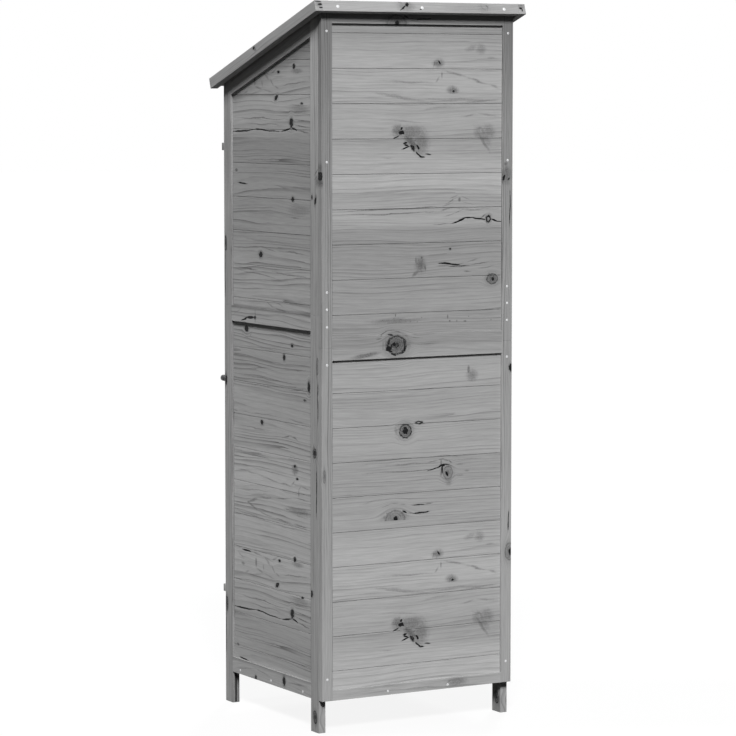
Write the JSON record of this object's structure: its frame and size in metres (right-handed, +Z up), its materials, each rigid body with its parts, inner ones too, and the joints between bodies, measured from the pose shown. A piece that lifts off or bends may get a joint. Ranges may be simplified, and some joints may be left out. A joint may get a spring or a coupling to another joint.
{
  "type": "garden shed",
  "caption": "Tall narrow timber garden tool shed with a lean-to felt roof, boarded panels on grooved posts, inner shelves and one full-height door with turn buttons and a knob latch.",
  "frame": {"origin": "middle of the shed's bounding box, on the ground", "axes": "+Z up, front (door side, low eave) towards -Y, back panel towards +Y, +X to the right as seen from the front"},
  "size_m": [0.602, 0.5674, 1.7995],
  "materials": {
    "painted_fir": "thin neutral grey stain on planed fir, grain and knots showing",
    "painted_board": "thin neutral grey stain on planed fir tongue and groove boards",
    "bare_fir": "planed unpainted fir",
    "roofing_felt": "bitumen felt with mineral chippings",
    "black_steel": "black powder coat",
    "zinc_screw": "bright zinc plate"
  },
  "bodies": {
    "shed": {"front_post_left_lower": "painted_fir", "front_post_left_upper": "painted_fir", "front_post_right_lower": "painted_fir", "front_post_right_upper": "painted_fir", "rear_post_left_lower": "painted_fir", "rear_post_left_upper": "painted_fir", "rear_post_right_lower": "painted_fir", "rear_post_right_upper": "painted_fir", "post_dowels": "bare_fir", "side_left_bottom_rail": "painted_fir", "side_left_mid_rail": "painted_fir", "side_left_top_rail": "painted_fir", "side_left_lower_boards": "painted_board", "side_left_upper_boards": "painted_board", "side_right_bottom_rail": "painted_fir", "side_right_mid_rail": "painted_fir", "side_right_top_rail": "painted_fir", "side_right_lower_boards": "painted_board", "side_right_upper_boards": "painted_board", "back_left_lower_stile": "painted_fir", "back_left_upper_stile": "painted_fir", "back_right_lower_stile": "painted_fir", "back_right_upper_stile": "painted_fir", "back_bottom_rail": "painted_fir", "back_lower_top_rail": "painted_fir", "back_upper_bottom_rail": "painted_fir", "back_top_rail": "painted_fir", "back_lower_boards": "painted_board", "back_upper_boards": "painted_board", "front_bottom_rail": "painted_fir", "front_top_rail": "painted_fir", "floor_bearers": "bare_fir", "floor_boards": "bare_fir", "shelf_battens": "bare_fir", "shelf_lower": "bare_fir", "shelf_middle": "bare_fir", "shelf_upper": "bare_fir", "roof_deck_boards": "bare_fir", "roof_felt": "roofing_felt", "roof_left_fascia": "painted_fir", "roof_right_fascia": "painted_fir", "roof_back_fascia": "painted_fir", "roof_front_fascia": "painted_fir", "hinge_post_leaves": "black_steel", "hinge_pins": "black_steel", "frame_screws": "zinc_screw"},
    "door": {"door_left_stile": "painted_fir", "door_right_stile": "painted_fir", "door_bottom_rail": "painted_fir", "door_mid_rail": "painted_fir", "door_top_rail": "painted_fir", "door_lower_boards": "painted_board", "door_upper_boards": "painted_board", "door_pull": "black_steel", "hinge_door_leaves": "black_steel", "hinge_door_screws": "black_steel"},
    "button_upper": {"turn_button_upper": "painted_fir"},
    "button_lower": {"turn_button_lower": "painted_fir"},
    "latch": {"latch_knob": "black_steel", "latch_tongue": "black_steel"}
  },
  "joints": [
    {"name": "door_hinge", "type": "hinge", "parent": "shed", "child": "door", "pos_m": [-0.254, -0.25576, 0.834], "axis": [0, 0, -1], "range_deg": [0, 170]},
    {"name": "upper_button_turn", "type": "hinge", "parent": "shed", "child": "button_upper", "pos_m": [0.259, -0.25906, 1.441], "axis": [0, -1, 0], "continuous": true},
    {"name": "lower_button_turn", "type": "hinge", "parent": "shed", "child": "button_lower", "pos_m": [0.259, -0.25906, 0.296], "axis": [0, -1, 0], "continuous": true},
    {"name": "latch_turn", "type": "hinge", "parent": "shed", "child": "latch", "pos_m": [0.26525, -0.25426, 0.842], "axis": [0, 1, 0], "range_deg": [0, 90]}
  ]
}
